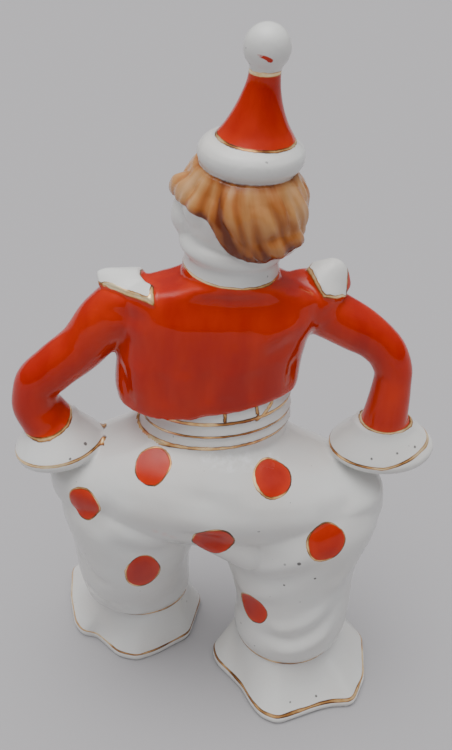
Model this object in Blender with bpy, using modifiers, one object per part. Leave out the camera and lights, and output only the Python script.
"""Clown figurine: one porcelain casting of a standing clown with the hands in the pockets.

Metres, +Z up. The front faces -Y and the clown's own left is +X. The soles rest on Z = 0.
Every length below is in 170ths of the height, so HEIGHT alone scales the figure.
"""

import math

import bmesh
import bpy
import numpy as np
from mathutils import Matrix, Vector
from mathutils.bvhtree import BVHTree

HEIGHT = 0.170
UNIT = HEIGHT / 170.0

# How finely the casting is formed, and how many triangles are kept.
SEGMENTS = 72
RING_GAP = 1.0
VOXEL = 0.85
SOFTENING_PASSES = 2
KEPT_TRIANGLES = 9200
SOLE_DROP = 4.0
WELD = 0.12
SLIVER = 0.02
FLAT_JOINT = math.radians(25.0)

# How far the form is moved so that the origin lies under the middle of its box.
CENTRING = (0.61, 3.48, 0.0)

# Hat.
POMPOM_CENTRE = (-4.5, 0.0, 165.5)
POMPOM_RADIUS = 4.6
BRIM_CENTRE = (-2.7, 0.0, 144.8)
BRIM_RADIUS = 7.8
BRIM_TUBE = 3.0
BRIM_LEAN = 1.2
# z, centre x, centre y, half width, half depth
CONE = (
    (142.0, -2.6, 0.0, 9.0, 9.0),
    (147.8, -3.2, 0.0, 8.1, 8.1),
    (150.1, -3.4, 0.0, 6.7, 6.7),
    (152.6, -3.6, 0.0, 5.4, 5.4),
    (156.0, -3.9, 0.0, 4.1, 4.1),
    (160.0, -4.3, 0.0, 3.2, 3.2),
    (164.0, -4.5, 0.0, 3.0, 3.0),
)

# Head. It is turned to the clown's left.
HEAD_TURN = 37.0
SKULL_CENTRE = (-0.8, -0.6, 133.6)
SKULL_RADII = (11.8, 12.6, 12.6)
CHIN_REACH = 6.2
CHIN_DROP = 7.2
CHIN_RADII = (6.4, 6.0, 5.0)
CHEEK_SIDE = 5.6
CHEEK_REACH = 6.2
CHEEK_DROP = 3.6
CHEEK_RADIUS = 5.9
NOSE_REACH = 13.2
NOSE_DROP = 0.8
NOSE_RADIUS = 2.0
# centre x, y, z, then the three half lengths
HAIR_MASSES = (
    (-2.8, 1.2, 134.4, 12.0, 12.0, 9.6),
    (-5.4, 4.4, 129.8, 8.8, 8.4, 5.2),
    (-8.4, -0.4, 132.0, 6.0, 8.6, 8.0),
    (5.0, 1.6, 134.4, 5.8, 7.8, 6.2),
)
HAIR_TUFT_PATH = ((4.0, 3.0, 136.6), (9.0, -0.5, 136.4), (12.6, -4.6, 134.6))
HAIR_TUFT_RADII = (5.0, 3.8, 0.9)

# Collar.
COLLAR = (
    (117.0, 0.2, 0.2, 10.2, 10.2),
    (119.6, 0.2, 0.2, 10.4, 10.7),
    (122.6, 0.1, 0.0, 10.0, 10.3),
    (126.0, 0.1, 0.0, 9.8, 10.0),
)
ROLL_CENTRE = (0.2, 0.0, 124.9)
ROLL_RADIUS = 8.9
ROLL_TUBE = 2.4
ROLL_LEAN = 4.0

# Jacket: lower edge to shoulders.
JACKET = (
    (87.8, 4.3, 0.4, 20.6, 12.9),
    (91.5, 4.4, 0.4, 21.1, 13.2),
    (97.0, 4.0, 0.4, 21.0, 13.2),
    (103.0, 3.0, 0.4, 20.9, 13.0),
    (109.0, 2.0, 0.2, 22.2, 12.4),
    (113.0, 1.6, 0.5, 22.0, 10.4),
    (115.2, 1.0, 1.4, 18.4, 8.8),
    (116.5, 0.4, 1.4, 13.6, 9.2),
    (117.4, 0.2, 0.8, 11.2, 10.2),
    (118.2, 0.2, 0.0, 9.4, 9.4),
)
JACKET_YAW = 5.0
JACKET_SQUARENESS = 2.3
HEM_DROP = 2.2
HEM_WAVE = 0.7
HEM_STEP = 1.5
HEM_STEP_AT = 85.0
HEM_STEP_WIDTH = 4.0
HEM_STEP_FADE = 60.0
NAPE_RISE = 1.7
HIPS_LEAN = 2.4

# Sash under the jacket: three wrapped bands.
SASH = (
    (74.0, 2.2, 0.2, 17.0, 12.2),
    (77.6, 2.2, 0.2, 17.5, 12.6),
    (81.5, 1.9, 0.2, 16.8, 12.2),
    (85.4, 1.8, 0.2, 16.4, 12.0),
    (92.0, 2.4, 0.2, 16.2, 11.6),
)
SASH_BANDS = (78.9, 82.2, 85.6)
SASH_BAND = 3.4
SASH_STEP = 0.9
SASH_LEAN = 1.9

# Trousers.
HIPS = (
    (78.4, 2.2, 0.2, 15.8, 11.4),
    (76.6, 2.2, 0.8, 18.2, 12.6),
    (74.2, 2.0, 2.0, 22.4, 14.4),
    (71.2, 1.6, 2.8, 28.6, 16.4),
    (67.6, 1.2, 2.5, 35.2, 18.6),
    (62.6, 1.0, 1.8, 41.2, 20.0),
    (57.0, 0.5, 1.6, 41.4, 18.6),
    (52.0, 0.0, 1.2, 39.4, 15.6),
    (47.5, -0.2, 0.8, 35.0, 11.6),
    (43.6, -0.2, 0.6, 24.0, 6.0),
)
LEFT_LEG = (
    (11.0, 21.2, -4.6, 12.0, 10.6),
    (15.5, 21.2, -4.6, 13.3, 11.9),
    (19.0, 21.7, -4.0, 14.5, 13.7),
    (25.0, 22.2, -2.6, 14.7, 15.2),
    (33.0, 22.2, -0.9, 14.9, 16.5),
    (42.0, 21.6, 0.2, 16.3, 17.3),
    (54.0, 20.8, 0.8, 19.0, 18.4),
    (62.0, 20.4, 1.0, 17.0, 16.4),
)
RIGHT_LEG = (
    (10.0, -19.6, 6.2, 12.2, 12.2),
    (14.0, -19.6, 6.4, 13.4, 13.6),
    (18.0, -20.2, 6.5, 14.7, 15.0),
    (24.0, -20.7, 5.8, 14.9, 15.0),
    (33.0, -19.8, 4.6, 15.9, 15.2),
    (42.0, -18.9, 3.6, 17.8, 16.4),
    (54.0, -19.4, 2.4, 20.6, 18.0),
    (62.0, -19.4, 1.6, 18.6, 16.0),
)

# The trousers' seat runs down into the right leg: x, y, z and radius.
SEAT = ((6.0, 13.4, 57.6, 5.0), (0.0, 14.6, 55.0, 5.4), (-6.0, 14.6, 51.6, 5.6), (-11.0, 12.0, 47.4, 4.6))

# Flared hems on the ground: the level of the ankle and the ring there, then the corners of the
# ruffled edge as angle and reach.
LEFT_HEM_LEVEL = 15.5
RIGHT_HEM_LEVEL = 14.0
HEM_RIM = 1.9
HEM_CURL = 1.45
LEFT_HEM_TOP = (21.2, -4.6, 13.4, 11.9)
LEFT_HEM_MIDDLE = (24.0, -8.0)
LEFT_HEM_CORNERS = (
    (-34.0, 23.6), (-4.0, 18.2), (28.0, 17.4), (42.0, 17.2), (52.0, 14.8), (61.0, 15.0), (84.0, 18.2),
    (100.0, 19.6), (118.0, 18.8), (150.0, 20.2), (190.0, 20.6), (232.0, 20.0), (284.0, 20.6),
)
RIGHT_HEM_TOP = (-19.6, 6.4, 13.2, 13.4)
RIGHT_HEM_MIDDLE = (-21.5, 9.0)
RIGHT_HEM_CORNERS = (
    (-8.0, 21.8), (5.0, 20.4), (20.0, 17.4), (37.0, 16.3), (54.0, 18.0), (66.0, 19.8), (80.0, 20.4),
    (118.0, 16.9), (131.0, 18.0), (142.0, 21.6), (168.0, 21.2), (203.0, 23.2), (226.0, 23.2), (262.0, 21.2),
    (308.0, 21.6),
)
HEM_ROUNDING = 4.5
HEM_RIPPLE = 0.12
HEM_HOLLOW = 0.15
TOE_REACH = 19.5
TOE_RADII = (7.4, 8.4, 6.2)
TOE_LIFT = 2.2
LEFT_TOE_TURN = 6.0
RIGHT_TOE_TURN = -8.0

# Arms: path of centres with the radius at each.
LEFT_ARM = (
    (12.0, 0.6, 107.6, 6.6), (20.4, 0.7, 108.7, 7.2), (26.7, 0.9, 105.0, 6.5), (32.8, 1.8, 97.7, 5.6),
    (39.0, 2.6, 92.2, 5.4), (43.4, 3.2, 87.2, 5.3), (44.0, 3.4, 82.6, 5.5), (42.2, 3.4, 78.8, 6.0),
    (39.8, 3.2, 74.8, 6.4), (37.8, 3.0, 71.0, 6.6),
)
RIGHT_ARM = (
    (-10.0, -2.0, 107.6, 7.0), (-17.6, -2.8, 109.6, 7.6), (-22.2, -3.0, 107.0, 5.8),
    (-28.6, -3.0, 103.6, 5.5), (-33.2, -2.8, 100.8, 4.9), (-36.9, -2.2, 97.0, 4.6),
    (-38.6, -1.4, 92.2, 4.4), (-38.4, -0.4, 86.8, 4.8), (-38.0, 0.0, 80.0, 5.4), (-37.6, 0.0, 74.0, 5.6),
)
# Cuffs: distance down from the sleeve's end, then the radius.
CUFF_FLARE = ((-1.4, 5.9), (0.0, 6.6), (2.2, 8.3), (4.6, 10.2), (5.8, 10.9), (7.0, 10.7), (8.6, 8.8))
LEFT_CUFF_TOP = (40.0, 3.0, 77.0)
LEFT_CUFF_AXIS = (-0.16, 0.08, -1.0)
LEFT_CUFF_SIZE = (0.98, 1.04)
RIGHT_CUFF_TOP = (-37.9, -0.4, 78.6)
RIGHT_CUFF_AXIS = (-0.06, -0.04, -1.0)
RIGHT_CUFF_SIZE = (1.16, 0.94)

# Shoulder flaps: the axis that they wrap about as y, z, then corners as x and length round from the top.
FLAP_RAISE = 1.1
FLAP_SOFTNESS = 0.9
FLAP_ROLL = 8.0
LEFT_FLAP_AXIS = (0.0, 109.0)
LEFT_FLAP = (
    (15.7, 8.6), (21.7, 7.1), (25.6, 5.0), (27.6, 3.2), (28.9, 1.4), (29.6, -1.0), (28.8, -4.4),
    (22.6, -7.9), (19.0, -8.0), (19.6, -1.0), (19.4, 1.6), (17.7, 4.2), (16.2, 5.4),
)
RIGHT_FLAP_AXIS = (-3.0, 109.0)
RIGHT_FLAP = (
    (-16.3, 0.2), (-18.0, 4.0), (-20.0, 6.8), (-22.9, 6.6), (-25.3, 5.0), (-25.3, -2.0), (-24.3, -6.0),
    (-20.0, -7.0), (-18.0, -4.0),
)
# Where a flap stands highest: x, length round from the top, extra height and width.
LEFT_CREST = (27.6, -1.6, 1.9, 3.2)
RIGHT_CREST = (-21.6, -0.8, 3.1, 2.9)

# Folds: height, width, then the points that the fold runs through.
FOLD_STRENGTH = 0.75
FOLDS = (
    (-0.6, 1.8, ((28.0, 6.2, 110.7), (21.1, 7.6, 109.8), (15.2, 9.4, 109.8))),
    (0.5, 2.4, ((19.1, 10.4, 101.0), (18.9, 11.3, 96.0), (18.4, 11.7, 90.4))),
    (-0.5, 2.2, ((14.0, 12.6, 100.0), (13.6, 13.0, 95.0), (13.2, 12.8, 89.6))),
    (0.5, 2.6, ((9.4, 13.2, 101.0), (9.0, 13.6, 96.0), (8.6, 13.7, 90.5))),
    (-0.5, 2.0, ((4.2, 13.4, 101.4), (3.8, 13.6, 96.0), (4.0, 13.6, 91.0))),
    (0.5, 3.0, ((-0.4, 13.0, 102.4), (-0.8, 13.2, 97.0), (-0.8, 13.2, 92.0))),
    (-0.5, 2.2, ((-5.6, 11.8, 101.0), (-6.4, 12.0, 96.4), (-6.2, 12.0, 91.4))),
    (0.5, 2.0, ((-5.1, 11.3, 106.9), (-9.9, 9.5, 108.6), (-14.7, 6.7, 110.6))),
    (-0.5, 1.8, ((-7.1, 11.3, 103.0), (-11.3, 9.5, 104.8), (-14.2, 7.7, 107.0))),
    (-0.5, 1.6, ((24.6, 5.0, 99.0), (22.6, 8.4, 95.0), (21.6, 9.8, 90.4), (19.6, 11.0, 87.4))),
    (-0.5, 1.6, ((-14.6, 6.8, 102.4), (-14.5, 6.4, 95.7), (-14.2, 6.2, 90.4))),
    (-0.4, 1.4, ((-24.7, 0.6, 112.6), (-22.1, 3.6, 111.0), (-18.3, 4.8, 109.4))),
    (-0.9, 2.4, ((35.0, 8.0, 42.0), (30.6, 12.0, 36.0), (25.0, 14.0, 33.4))),
    (0.7, 2.4, ((35.6, 4.0, 34.0), (30.5, 10.6, 28.6), (24.0, 12.2, 25.6))),
    (0.8, 3.2, ((28.2, 17.6, 61.0), (19.1, 19.8, 56.0), (9.0, 18.6, 52.6))),
    (-0.8, 2.6, ((25.6, 17.6, 53.4), (17.0, 17.8, 49.8), (9.6, 15.4, 47.6))),
    (-0.7, 2.6, ((9.0, 19.5, 70.6), (1.0, 20.6, 69.2), (-8.3, 21.2, 65.4))),
    (0.6, 3.0, ((12.2, 20.8, 65.6), (4.2, 21.6, 63.8), (-3.4, 21.4, 60.4))),
    (-0.7, 2.4, ((-3.0, 20.6, 57.4), (4.0, 20.6, 58.6), (11.0, 20.4, 58.4))),
    (0.9, 2.6, ((-4.6, 16.6, 47.0), (-9.8, 19.4, 47.6), (-17.3, 20.6, 50.6), (-24.2, 19.4, 54.8))),
    (-0.9, 2.4, ((-5.0, 13.0, 40.4), (-9.8, 17.6, 41.8), (-18.2, 20.2, 45.6), (-26.0, 18.8, 50.6))),
    (0.7, 2.2, ((-5.6, 11.0, 34.4), (-9.8, 16.8, 36.0), (-17.0, 19.6, 39.4))),
    (1.0, 2.0, ((-13.2, 18.2, 26.8), (-18.1, 20.0, 27.6), (-24.6, 19.4, 30.8), (-29.9, 16.4, 36.6))),
    (-0.9, 1.6, ((-12.1, 17.8, 23.4), (-19.7, 20.4, 24.0), (-26.3, 19.2, 26.8), (-31.4, 15.4, 32.0))),
    (0.9, 2.0, ((-12.4, 18.4, 20.0), (-19.9, 20.6, 20.6), (-26.0, 19.4, 23.0), (-31.2, 15.8, 27.0))),
    (-0.8, 2.6, ((-33.0, 12.0, 66.0), (-28.0, 16.4, 63.6), (-21.9, 18.9, 63.4))),
    (0.8, 2.8, ((-35.0, 12.5, 50.0), (-31.6, 14.6, 43.0), (-26.1, 17.6, 39.4))),
    (0.8, 2.2, ((34.0, 2.0, 20.6), (30.0, 5.4, 18.4), (23.0, 8.2, 17.2), (15.0, 6.0, 16.8))),
    (0.7, 3.2, ((30.0, 12.0, 70.6), (33.4, 11.6, 64.0), (33.4, 12.6, 56.0))),
    (-0.8, 2.8, ((25.0, 17.6, 67.6), (27.4, 17.4, 60.0), (30.0, 15.6, 52.0))),
    (0.7, 3.4, ((-8.0, -19.0, 66.0), (2.0, -19.6, 61.0), (14.0, -18.6, 60.0))),
    (-0.8, 2.8, ((-20.0, -17.6, 60.0), (-10.0, -16.0, 52.0), (-4.0, -12.0, 46.0))),
    (-0.8, 2.8, ((26.0, -17.6, 60.0), (14.0, -16.4, 52.0), (8.0, -13.0, 46.0))),
    (0.8, 2.4, ((-30.0, -6.0, 30.0), (-21.0, -9.6, 25.0), (-12.0, -6.0, 24.0))),
    (0.8, 2.4, ((31.0, -13.0, 30.0), (22.0, -16.8, 25.0), (13.0, -13.0, 24.0))),
)

# Lower edge of the hair as the angle round the head and the level there, then where the hair ends.
HAIRLINE = (
    (-25.0, 133.6), (0.0, 134.4), (20.0, 135.2), (42.0, 134.6), (53.0, 133.8), (58.0, 132.0), (62.0, 129.4),
    (69.0, 127.6), (78.0, 126.8), (90.0, 126.2), (104.0, 126.2), (118.0, 127.0), (130.0, 128.0), (142.0, 128.8),
    (165.0, 128.8), (200.0, 129.2), (222.0, 130.4),
)
HAIR_TOP = 143.4
HAIR_RAISE = 0.7
HAIR_EDGE = 0.9

# Combed hair: locks fan out from the crown about the head, each a furrow between two ridges.
LOCK_COUNT = 15
LOCK_FIRST = -62.0
LOCK_LAST = 176.0
LOCK_SWEEP = 26.0
LOCK_WAVE = 5.0
LOCK_DEPTH = 0.75
LOCK_WIDTH = 0.95
LOCK_TOP = 8.4
LOCK_DROP = 17.0

PORCELAIN = (0.80, 0.81, 0.79, 1.0)


def clear_scene():
    """Remove every object that the file starts with."""
    for found in list(bpy.data.objects):
        bpy.data.objects.remove(found, do_unlink=True)


def through(stops, values, wanted):
    """Smooth values at the wanted places along rising stops, with no overshoot between them."""
    stops = np.asarray(stops, float)
    values = np.asarray(values, float)
    steps = np.diff(stops)[:, None]
    slopes = np.diff(values, axis=0) / steps
    tangents = np.zeros_like(values)
    tangents[0] = slopes[0]
    tangents[-1] = slopes[-1]
    before, after = slopes[:-1], slopes[1:]
    same_way = before * after > 0.0
    total = np.where(same_way, before + after, 1.0)
    tangents[1:-1] = np.where(same_way, 2.0 * before * after / total, 0.0)
    place = np.clip(np.searchsorted(stops, wanted) - 1, 0, len(stops) - 2)
    share = ((wanted - stops[place]) / steps[place, 0])[:, None]
    gap = steps[place]
    start, end = values[place], values[place + 1]
    return (
        (1 + 2 * share) * (1 - share) ** 2 * start
        + share * (1 - share) ** 2 * gap * tangents[place]
        + share ** 2 * (3 - 2 * share) * end
        + share ** 2 * (share - 1) * gap * tangents[place + 1]
    )


class Clay:
    """Closed shells that overlap and are later fused into one casting."""

    def __init__(self):
        self.points = []
        self.faces = []

    def rings(self, rings):
        """Skin a list of equal rings of points and close both ends."""
        start = len(self.points)
        count = len(rings[0])
        for ring in rings:
            self.points.extend(tuple(point) for point in ring)
        for row in range(len(rings) - 1):
            low = start + row * count
            for step in range(count):
                beside = (step + 1) % count
                self.faces.append((low + step, low + beside, low + count + beside, low + count + step))
        last = start + (len(rings) - 1) * count
        self.faces.append(tuple(range(start + count - 1, start - 1, -1)))
        self.faces.append(tuple(range(last, last + count)))

    def stack(self, stations, yaw=0.0, squareness=2.0, shape=None):
        """Loft level ellipses given as z, centre x, centre y, half width, half depth."""
        stations = sorted(stations)
        table = np.array(stations, float)
        levels = np.linspace(table[0, 0], table[-1, 0], 2 + int(np.ptp(table[:, 0]) / RING_GAP))
        rows = through(table[:, 0], table[:, 1:], levels)
        angle = np.linspace(0.0, 2.0 * math.pi, SEGMENTS, endpoint=False)
        cosine, sine = np.cos(angle), np.sin(angle)
        power = 2.0 / squareness
        across = np.sign(cosine) * np.abs(cosine) ** power
        along = np.sign(sine) * np.abs(sine) ** power
        turn = math.radians(yaw)
        rings = []
        for level, (centre_x, centre_y, half_width, half_depth) in zip(levels, rows):
            share = (level - levels[0]) / (levels[-1] - levels[0])
            grow, lift = (0.0, 0.0) if shape is None else shape(angle, level, share)
            local_x = (half_width + grow) * across
            local_y = (half_depth + grow) * along
            x = centre_x + local_x * math.cos(turn) - local_y * math.sin(turn)
            y = centre_y + local_x * math.sin(turn) + local_y * math.cos(turn)
            z = level + lift + 0.0 * angle
            rings.append(np.stack([x, y, z], 1))
        self.rings(rings)

    def limb(self, path):
        """Sweep a round section along a path of x, y, z, radius."""
        keys = np.array(path, float)
        run = np.concatenate([[0.0], np.cumsum(np.linalg.norm(np.diff(keys[:, :3], axis=0), axis=1))])
        stops = np.linspace(0.0, run[-1], 2 + int(run[-1] / RING_GAP))
        rows = through(run, keys, stops)
        way = np.gradient(rows[:, :3], axis=0)
        rings = []
        for row, ahead in zip(rows, way):
            rings.append(self.disc(row[:3], ahead, row[3], row[3]))
        self.rings(rings)

    @staticmethod
    def disc(centre, axis, half_width, half_depth):
        """Points of an ellipse about an axis, its depth kept as near to Y as the axis lets it."""
        axis = np.asarray(axis, float) / np.linalg.norm(axis)
        depth = np.array([0.0, 1.0, 0.0]) - axis[1] * axis
        depth /= np.linalg.norm(depth)
        width = np.cross(depth, axis)
        angle = np.linspace(0.0, 2.0 * math.pi, SEGMENTS, endpoint=False)[:, None]
        return np.asarray(centre) + half_width * np.cos(angle) * width + half_depth * np.sin(angle) * depth

    def ball(self, centre, radii, yaw=0.0):
        """An ellipsoid, turned about the vertical."""
        share = np.linspace(0.04, math.pi - 0.04, 28)
        turn = math.radians(yaw)
        side = np.array([math.cos(turn), math.sin(turn), 0.0])
        ahead = np.array([-math.sin(turn), math.cos(turn), 0.0])
        angle = np.linspace(0.0, 2.0 * math.pi, SEGMENTS, endpoint=False)[:, None]
        rings = []
        for polar in share:
            level = np.asarray(centre) + np.array([0.0, 0.0, -radii[2] * math.cos(polar)])
            wide = math.sin(polar)
            rings.append(
                level + radii[0] * wide * np.cos(angle) * side + radii[1] * wide * np.sin(angle) * ahead
            )
        self.rings(rings)

    def tyre(self, centre, radius, tube, lean, squash=1.0):
        """A ring of round section, leaning down towards -X."""
        around = np.linspace(0.0, 2.0 * math.pi, SEGMENTS, endpoint=False)
        section = np.linspace(0.0, 2.0 * math.pi, 20, endpoint=False)
        tilt = Matrix.Rotation(math.radians(-lean), 3, "Y")
        start = len(self.points)
        for place in around:
            for corner in section:
                reach = radius + tube * math.cos(corner)
                rise = squash * tube * math.sin(corner)
                point = Vector((reach * math.cos(place), reach * math.sin(place), rise))
                self.points.append(tuple(Vector(centre) + tilt @ point))
        for row in range(SEGMENTS):
            for step in range(20):
                low, high = start + row * 20, start + ((row + 1) % SEGMENTS) * 20
                beside = (step + 1) % 20
                self.faces.append((low + step, high + step, high + beside, low + beside))


def ruffled(corners, angle):
    """Reach of a ruffled edge at each angle: straight runs between corners, then rounded."""
    turns = np.radians([corner[0] for corner in corners])
    reach = np.array([corner[1] for corner in corners])
    x, y = reach * np.cos(turns), reach * np.sin(turns)
    outline = []
    for start in range(len(corners)):
        end = (start + 1) % len(corners)
        for share in np.linspace(0.0, 1.0, 60, endpoint=False):
            outline.append((x[start] + (x[end] - x[start]) * share, y[start] + (y[end] - y[start]) * share))
    outline = np.array(outline)
    around = np.arctan2(outline[:, 1], outline[:, 0])
    order = np.argsort(around)
    lengths = np.hypot(outline[:, 0], outline[:, 1])[order]
    plain = np.interp(angle, around[order], lengths, period=2.0 * math.pi)
    apart = (angle[:, None] - angle[None, :] + math.pi) % (2.0 * math.pi) - math.pi
    weight = np.exp(-((np.degrees(apart) / HEM_ROUNDING) ** 2))
    return weight @ plain / weight.sum(1)


def flared_hem(clay, top, top_level, middle, corners):
    """A ruffled skirt from the ankle to the ground, with a thin upright rim."""
    angle = np.linspace(0.0, 2.0 * math.pi, SEGMENTS * 2, endpoint=False)
    reach = ruffled(corners, angle)
    curl = HEM_CURL - HEM_HOLLOW * np.clip(reach - reach.mean(), -3.0, 3.0)
    edge_x, edge_y = middle[0] + reach * np.cos(angle), middle[1] + reach * np.sin(angle)
    top_x, top_y = top[0] + top[2] * np.cos(angle), top[1] + top[3] * np.sin(angle)
    rings = []
    for share in np.linspace(1.0, 0.0, 16):
        level = HEM_RIM + (top_level - HEM_RIM) * share
        out = 0.72 * (1.0 - share) ** curl + 0.28 * (1.0 - share)
        bend = HEM_RIPPLE * (reach - reach.mean()) * math.sin(math.pi * share)
        x = top_x + (edge_x - top_x) * out
        y = top_y + (edge_y - top_y) * out
        rings.append(np.stack([x, y, level + bend], 1))
    rim = rings[-1]
    away = np.stack([np.cos(angle), np.sin(angle), 0.0 * angle], 1)
    for level, inset in ((HEM_RIM * 0.45, 0.0), (-0.2, 0.7), (-SOLE_DROP, 1.2)):
        ring = rim - away * inset
        ring[:, 2] = level
        rings.append(ring)
    clay.rings(rings[::-1])


def cuff(clay, top, axis, size):
    """A bell round the end of the sleeve."""
    axis = np.asarray(axis, float)
    axis /= np.linalg.norm(axis)
    rings = []
    for down, radius in CUFF_FLARE:
        centre = np.asarray(top) + axis * down
        rings.append(Clay.disc(centre, axis, radius * size[0], radius * size[1]))
    clay.rings(rings)


def jacket_shape(angle, level, share):
    """The jacket's lower edge hangs lower at the clown's left, with a step at the back; its nape rises."""
    fade = (1.0 - share) ** 3
    past = np.degrees(angle) - HEM_STEP_AT
    step = np.clip(0.5 + 0.5 * np.tanh(past / HEM_STEP_WIDTH), 0.0, 1.0)
    step *= np.clip(1.25 - past / HEM_STEP_FADE, 0.0, 1.0)
    lift = -HEM_DROP * np.cos(angle) + HEM_WAVE * np.sin(3.0 * angle + 0.6) + HEM_STEP * step
    lift *= fade
    lift += NAPE_RISE * np.maximum(0.0, np.sin(angle)) * share ** 4
    return 0.0, lift


def hips_shape(angle, level, share):
    """The trousers rise higher at the clown's left hip."""
    return 0.0, HIPS_LEAN * np.cos(angle) * share * math.sqrt(max(0.0, math.sin(math.pi * share)))


def sash_shape(angle, level, share):
    """Each band swells towards its lower edge, and all lean down towards the clown's left."""
    swell = 0.0
    for low in SASH_BANDS:
        height = level - low
        if 0.0 <= height < SASH_BAND:
            swell = SASH_STEP * (1.0 - height / SASH_BAND)
    return swell + 0.0 * angle, -SASH_LEAN * np.cos(angle)


def head(clay):
    """Skull, chin, cheeks, nose and hair masses."""
    turn = math.radians(HEAD_TURN)
    face = np.array([math.sin(turn), -math.cos(turn), 0.0])
    side = np.array([math.cos(turn), math.sin(turn), 0.0])
    up = np.array([0.0, 0.0, 1.0])
    centre = np.array(SKULL_CENTRE)
    clay.ball(centre, SKULL_RADII, HEAD_TURN)
    clay.ball(centre + face * CHIN_REACH - up * CHIN_DROP, CHIN_RADII, HEAD_TURN)
    for hand in (-1.0, 1.0):
        cheek = centre + face * CHEEK_REACH + side * CHEEK_SIDE * hand - up * CHEEK_DROP
        clay.ball(cheek, (CHEEK_RADIUS,) * 3)
    clay.ball(centre + face * NOSE_REACH - up * NOSE_DROP, (NOSE_RADIUS,) * 3)
    for mass in HAIR_MASSES:
        clay.ball(mass[:3], mass[3:])
    clay.limb([point + (radius,) for point, radius in zip(HAIR_TUFT_PATH, HAIR_TUFT_RADII)])


def form():
    """Every overlapping shell of the figure, in 170ths of the height."""
    clay = Clay()
    clay.ball(POMPOM_CENTRE, (POMPOM_RADIUS,) * 3)
    clay.stack(CONE)
    clay.tyre(BRIM_CENTRE, BRIM_RADIUS, BRIM_TUBE, BRIM_LEAN)
    head(clay)
    clay.stack(COLLAR)
    clay.tyre(ROLL_CENTRE, ROLL_RADIUS, ROLL_TUBE, ROLL_LEAN, 0.85)
    clay.stack(JACKET, JACKET_YAW, JACKET_SQUARENESS, jacket_shape)
    clay.stack(SASH, shape=sash_shape)
    clay.stack(HIPS, shape=hips_shape)
    clay.stack(LEFT_LEG)
    clay.stack(RIGHT_LEG)
    clay.limb(SEAT)
    flared_hem(clay, LEFT_HEM_TOP, LEFT_HEM_LEVEL, LEFT_HEM_MIDDLE, LEFT_HEM_CORNERS)
    flared_hem(clay, RIGHT_HEM_TOP, RIGHT_HEM_LEVEL, RIGHT_HEM_MIDDLE, RIGHT_HEM_CORNERS)
    for foot, turn in ((LEFT_HEM_MIDDLE, LEFT_TOE_TURN), (RIGHT_HEM_MIDDLE, RIGHT_TOE_TURN)):
        way = math.radians(turn)
        toe = (foot[0] + TOE_REACH * math.sin(way), foot[1] - TOE_REACH * math.cos(way), TOE_LIFT)
        clay.ball(toe, TOE_RADII, turn)
    clay.limb(LEFT_ARM)
    clay.limb(RIGHT_ARM)
    cuff(clay, LEFT_CUFF_TOP, LEFT_CUFF_AXIS, LEFT_CUFF_SIZE)
    cuff(clay, RIGHT_CUFF_TOP, RIGHT_CUFF_AXIS, RIGHT_CUFF_SIZE)
    return clay


def evaluated(figure):
    """The figure's mesh with its modifiers carried out."""
    graph = bpy.context.evaluated_depsgraph_get()
    graph.update()
    return bpy.data.meshes.new_from_object(figure.evaluated_get(graph))


def settle(figure):
    """Carry out the modifiers and keep the result as the figure's own mesh."""
    made = evaluated(figure)
    figure.modifiers.clear()
    figure.data = made


def cast(clay, name, collection):
    """Fuse the overlapping shells into one closed surface and soften its joints."""
    mesh = bpy.data.meshes.new(name)
    mesh.from_pydata([tuple(UNIT * axis for axis in point) for point in clay.points], [], clay.faces)
    figure = bpy.data.objects.new(name, mesh)
    collection.objects.link(figure)
    fuse = figure.modifiers.new("fuse", "REMESH")
    fuse.mode = "VOXEL"
    fuse.voxel_size = VOXEL * UNIT
    soften = figure.modifiers.new("soften", "SMOOTH")
    soften.factor = 0.5
    soften.iterations = SOFTENING_PASSES
    settle(figure)
    return figure


def positions(mesh):
    """Vertex positions and normals in 170ths of the height."""
    places = np.zeros(len(mesh.vertices) * 3)
    normals = np.zeros(len(mesh.vertices) * 3)
    mesh.vertices.foreach_get("co", places)
    mesh.vertices.foreach_get("normal", normals)
    return places.reshape(-1, 3) / UNIT, normals.reshape(-1, 3)


def move(mesh, places):
    """Give the mesh new vertex positions."""
    mesh.vertices.foreach_set("co", (places * UNIT).ravel())
    mesh.update()


def near_line(places, line):
    """Distance of every place to a polyline, and how far along the line the nearest point is, from 0 to 1."""
    line = np.asarray(line, float)
    best = np.full(len(places), np.inf)
    along = np.zeros(len(places))
    pieces = len(line) - 1
    for piece in range(pieces):
        start, run = line[piece], line[piece + 1] - line[piece]
        share = np.clip((places - start) @ run / (run @ run), 0.0, 1.0)
        apart = np.linalg.norm(places - start - share[:, None] * run, axis=1)
        closer = apart < best
        best[closer] = apart[closer]
        along[closer] = (piece + share[closer]) / pieces
    return best, along


def laid(tree, points, steps):
    """A smooth line through the points, laid onto the surface."""
    keys = np.asarray(points, float)
    stops = np.arange(len(keys), dtype=float)
    dense = through(stops, keys, np.linspace(0.0, stops[-1], steps))
    return [tuple(tree.find_nearest(Vector(point))[0]) for point in dense]


def fold_heights(places, tree, folds):
    """Sum of the folds' heights, each fading at both ends."""
    height = np.zeros(len(places))
    for rise, width, points in folds:
        apart, along = near_line(places, laid(tree, points, 9))
        fade = np.clip(np.minimum(along, 1.0 - along) / 0.3, 0.0, 1.0)
        fade = 0.15 + 0.85 * fade * fade * (3.0 - 2.0 * fade)
        height += FOLD_STRENGTH * rise * fade * np.exp(-((apart / width) ** 2))
    return height


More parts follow.
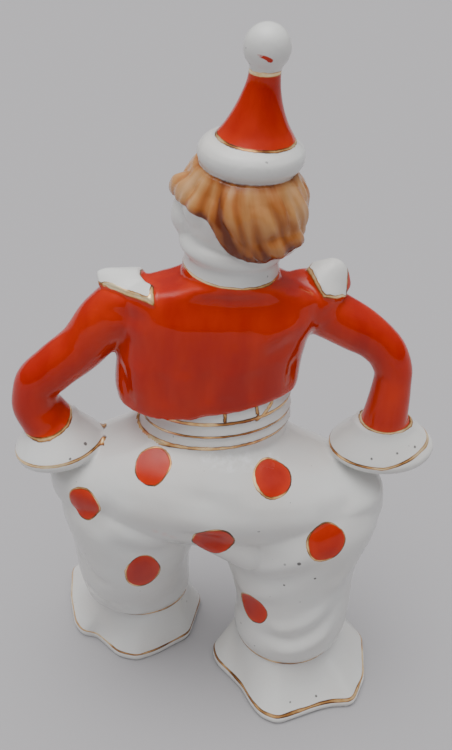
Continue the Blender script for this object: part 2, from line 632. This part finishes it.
def lock_lines():
    """Lines of the furrows between locks of hair, from the brim down, sweeping towards the face."""
    centre = np.array(HAIR_MASSES[0][:3])
    lines = []
    for number in range(LOCK_COUNT):
        share = number / (LOCK_COUNT - 1)
        start = LOCK_FIRST + (LOCK_LAST - LOCK_FIRST) * share
        way = 1.0 if start < 40.0 else -1.0
        line = []
        for step in range(8):
            down = step / 7
            wave = LOCK_WAVE * math.sin(2.4 * number + 4.0 * down)
            turn = math.radians(start - way * LOCK_SWEEP * down ** 1.5 + wave)
            reach = 12.4 + 1.2 * math.sin(math.pi * down)
            line.append((
                centre[0] + reach * math.cos(turn),
                centre[1] + reach * math.sin(turn),
                centre[2] + LOCK_TOP - LOCK_DROP * down,
            ))
        lines.append(line)
    return lines


def outline_distance(points, corners):
    """Signed distance to a closed outline in the plane, positive inside."""
    corners = np.asarray(corners, float)
    best = np.full(len(points), np.inf)
    inside = np.zeros(len(points), bool)
    for number, start in enumerate(corners):
        end = corners[(number + 1) % len(corners)]
        run = end - start
        share = np.clip((points - start) @ run / (run @ run), 0.0, 1.0)
        best = np.minimum(best, np.linalg.norm(points - start - share[:, None] * run, axis=1))
        crosses = (start[1] > points[:, 1]) != (end[1] > points[:, 1])
        rise = np.where(end[1] == start[1], 1.0, end[1] - start[1])
        meets = start[0] + (points[:, 1] - start[1]) * run[0] / rise
        inside ^= crosses & (points[:, 0] < meets)
    return np.where(inside, best, -best)


def flap_distance(places, corners, axis):
    """Signed distance to the edge of a shoulder flap, measured along the shoulder."""
    round_axis = np.arctan2(places[:, 1] - axis[0], places[:, 2] - axis[1])
    unrolled = np.stack([places[:, 0], FLAP_ROLL * round_axis], 1)
    distance = outline_distance(unrolled, corners)
    away = np.hypot(places[:, 1] - axis[0], places[:, 2] - axis[1])
    return np.where(away > 4.0, distance, -9.0), unrolled


def flap_heights(places):
    """How far the two shoulder flaps stand out."""
    height = np.zeros(len(places))
    for corners, axis, crest in (
        (LEFT_FLAP, LEFT_FLAP_AXIS, LEFT_CREST),
        (RIGHT_FLAP, RIGHT_FLAP_AXIS, RIGHT_CREST),
    ):
        distance, unrolled = flap_distance(places, corners, axis)
        height += FLAP_RAISE * np.clip(distance / FLAP_SOFTNESS + 0.5, 0.0, 1.0)
        apart = np.hypot(unrolled[:, 0] - crest[0], unrolled[:, 1] - crest[1])
        height += np.where(distance > 0.0, crest[2] * np.exp(-((apart / crest[3]) ** 2)), 0.0)
    return height


def hair_distance(places):
    """Signed distance inside the edge of the hair, positive on the hair."""
    centre = HAIR_MASSES[0]
    turn = (np.degrees(np.arctan2(places[:, 1] - centre[1], places[:, 0] - centre[0])) + 90.0) % 360.0 - 90.0
    angles, levels = zip(*HAIRLINE)
    above = places[:, 2] - np.interp(turn, angles, levels)
    mean_reach = math.radians(centre[3])
    beside = np.minimum(turn - angles[0], angles[-1] - turn) * mean_reach
    return np.minimum(np.minimum(above, beside), HAIR_TOP - places[:, 2])


def carve(figure):
    """Raise and sink the drapery, the shoulder flaps and the locks of hair."""
    places, normals = positions(figure.data)
    figure.data.calc_loop_triangles()
    triangles = [tuple(triangle.vertices) for triangle in figure.data.loop_triangles]
    tree = BVHTree.FromPolygons([tuple(place) for place in places], triangles)
    height = fold_heights(places, tree, FOLDS) + flap_heights(places)
    hair = np.clip(hair_distance(places) / HAIR_EDGE + 0.5, 0.0, 1.0)
    locks = np.zeros(len(places))
    for line in lock_lines():
        laid_line = [tuple(tree.find_nearest(Vector(point))[0]) for point in line]
        apart, along = near_line(places, laid_line)
        locks -= LOCK_DEPTH * np.exp(-((apart / LOCK_WIDTH) ** 2)) * np.clip(along * 6.0, 0.0, 1.0)
    height += hair * (HAIR_RAISE + np.maximum(locks, -LOCK_DEPTH))
    move(figure.data, places + normals * height[:, None])


def thin(figure):
    """Reduce the surface to the triangles that the form needs."""
    figure.data.calc_loop_triangles()
    thinner = figure.modifiers.new("thin", "DECIMATE")
    thinner.ratio = KEPT_TRIANGLES / len(figure.data.loop_triangles)
    thinner.use_collapse_triangulate = True
    settle(figure)


def stand(figure):
    """Cut the surface level with the ground and close the soles."""
    work = bmesh.new()
    work.from_mesh(figure.data)
    everything = work.verts[:] + work.edges[:] + work.faces[:]
    bmesh.ops.bisect_plane(
        work,
        geom=everything,
        dist=WELD * UNIT * 0.5,
        plane_co=(0, 0, 0),
        plane_no=(0, 0, 1),
        clear_inner=True,
    )
    rim = [edge for edge in work.edges if edge.is_boundary]
    low = list({vertex for edge in rim for vertex in edge.verts})
    bmesh.ops.remove_doubles(work, verts=low, dist=WELD * UNIT)
    rim = [edge for edge in work.edges if edge.is_boundary]
    for edge in rim:
        for vertex in edge.verts:
            vertex.co.z = 0.0
    bmesh.ops.holes_fill(work, edges=rim, sides=0)
    bmesh.ops.triangulate(work, faces=work.faces[:])
    flat = [edge for edge in work.edges if edge.calc_face_angle(math.pi) < FLAT_JOINT]
    bmesh.ops.beautify_fill(work, faces=work.faces[:], edges=flat, use_restrict_tag=False, method="ANGLE")
    bmesh.ops.dissolve_degenerate(work, edges=work.edges[:], dist=SLIVER * UNIT)
    bmesh.ops.triangulate(work, faces=work.faces[:])
    bmesh.ops.recalc_face_normals(work, faces=work.faces[:])
    bmesh.ops.translate(work, verts=work.verts[:], vec=[UNIT * axis for axis in CENTRING])
    work.to_mesh(figure.data)
    work.free()


def glaze(figure):
    """White glaze for the whole casting."""
    material = bpy.data.materials.new("glazed_porcelain")
    material.use_nodes = True
    shader = material.node_tree.nodes["Principled BSDF"]
    shader.inputs["Base Color"].default_value = PORCELAIN
    shader.inputs["Roughness"].default_value = 0.12
    figure.data.materials.append(material)


def main():
    """Form, cast and stand the figurine."""
    clear_scene()
    collection = bpy.data.collections.new("clown_figurine")
    bpy.context.scene.collection.children.link(collection)
    figure = cast(form(), "clown_figurine", collection)
    carve(figure)
    thin(figure)
    stand(figure)
    glaze(figure)


if __name__ == "__main__":
    main()
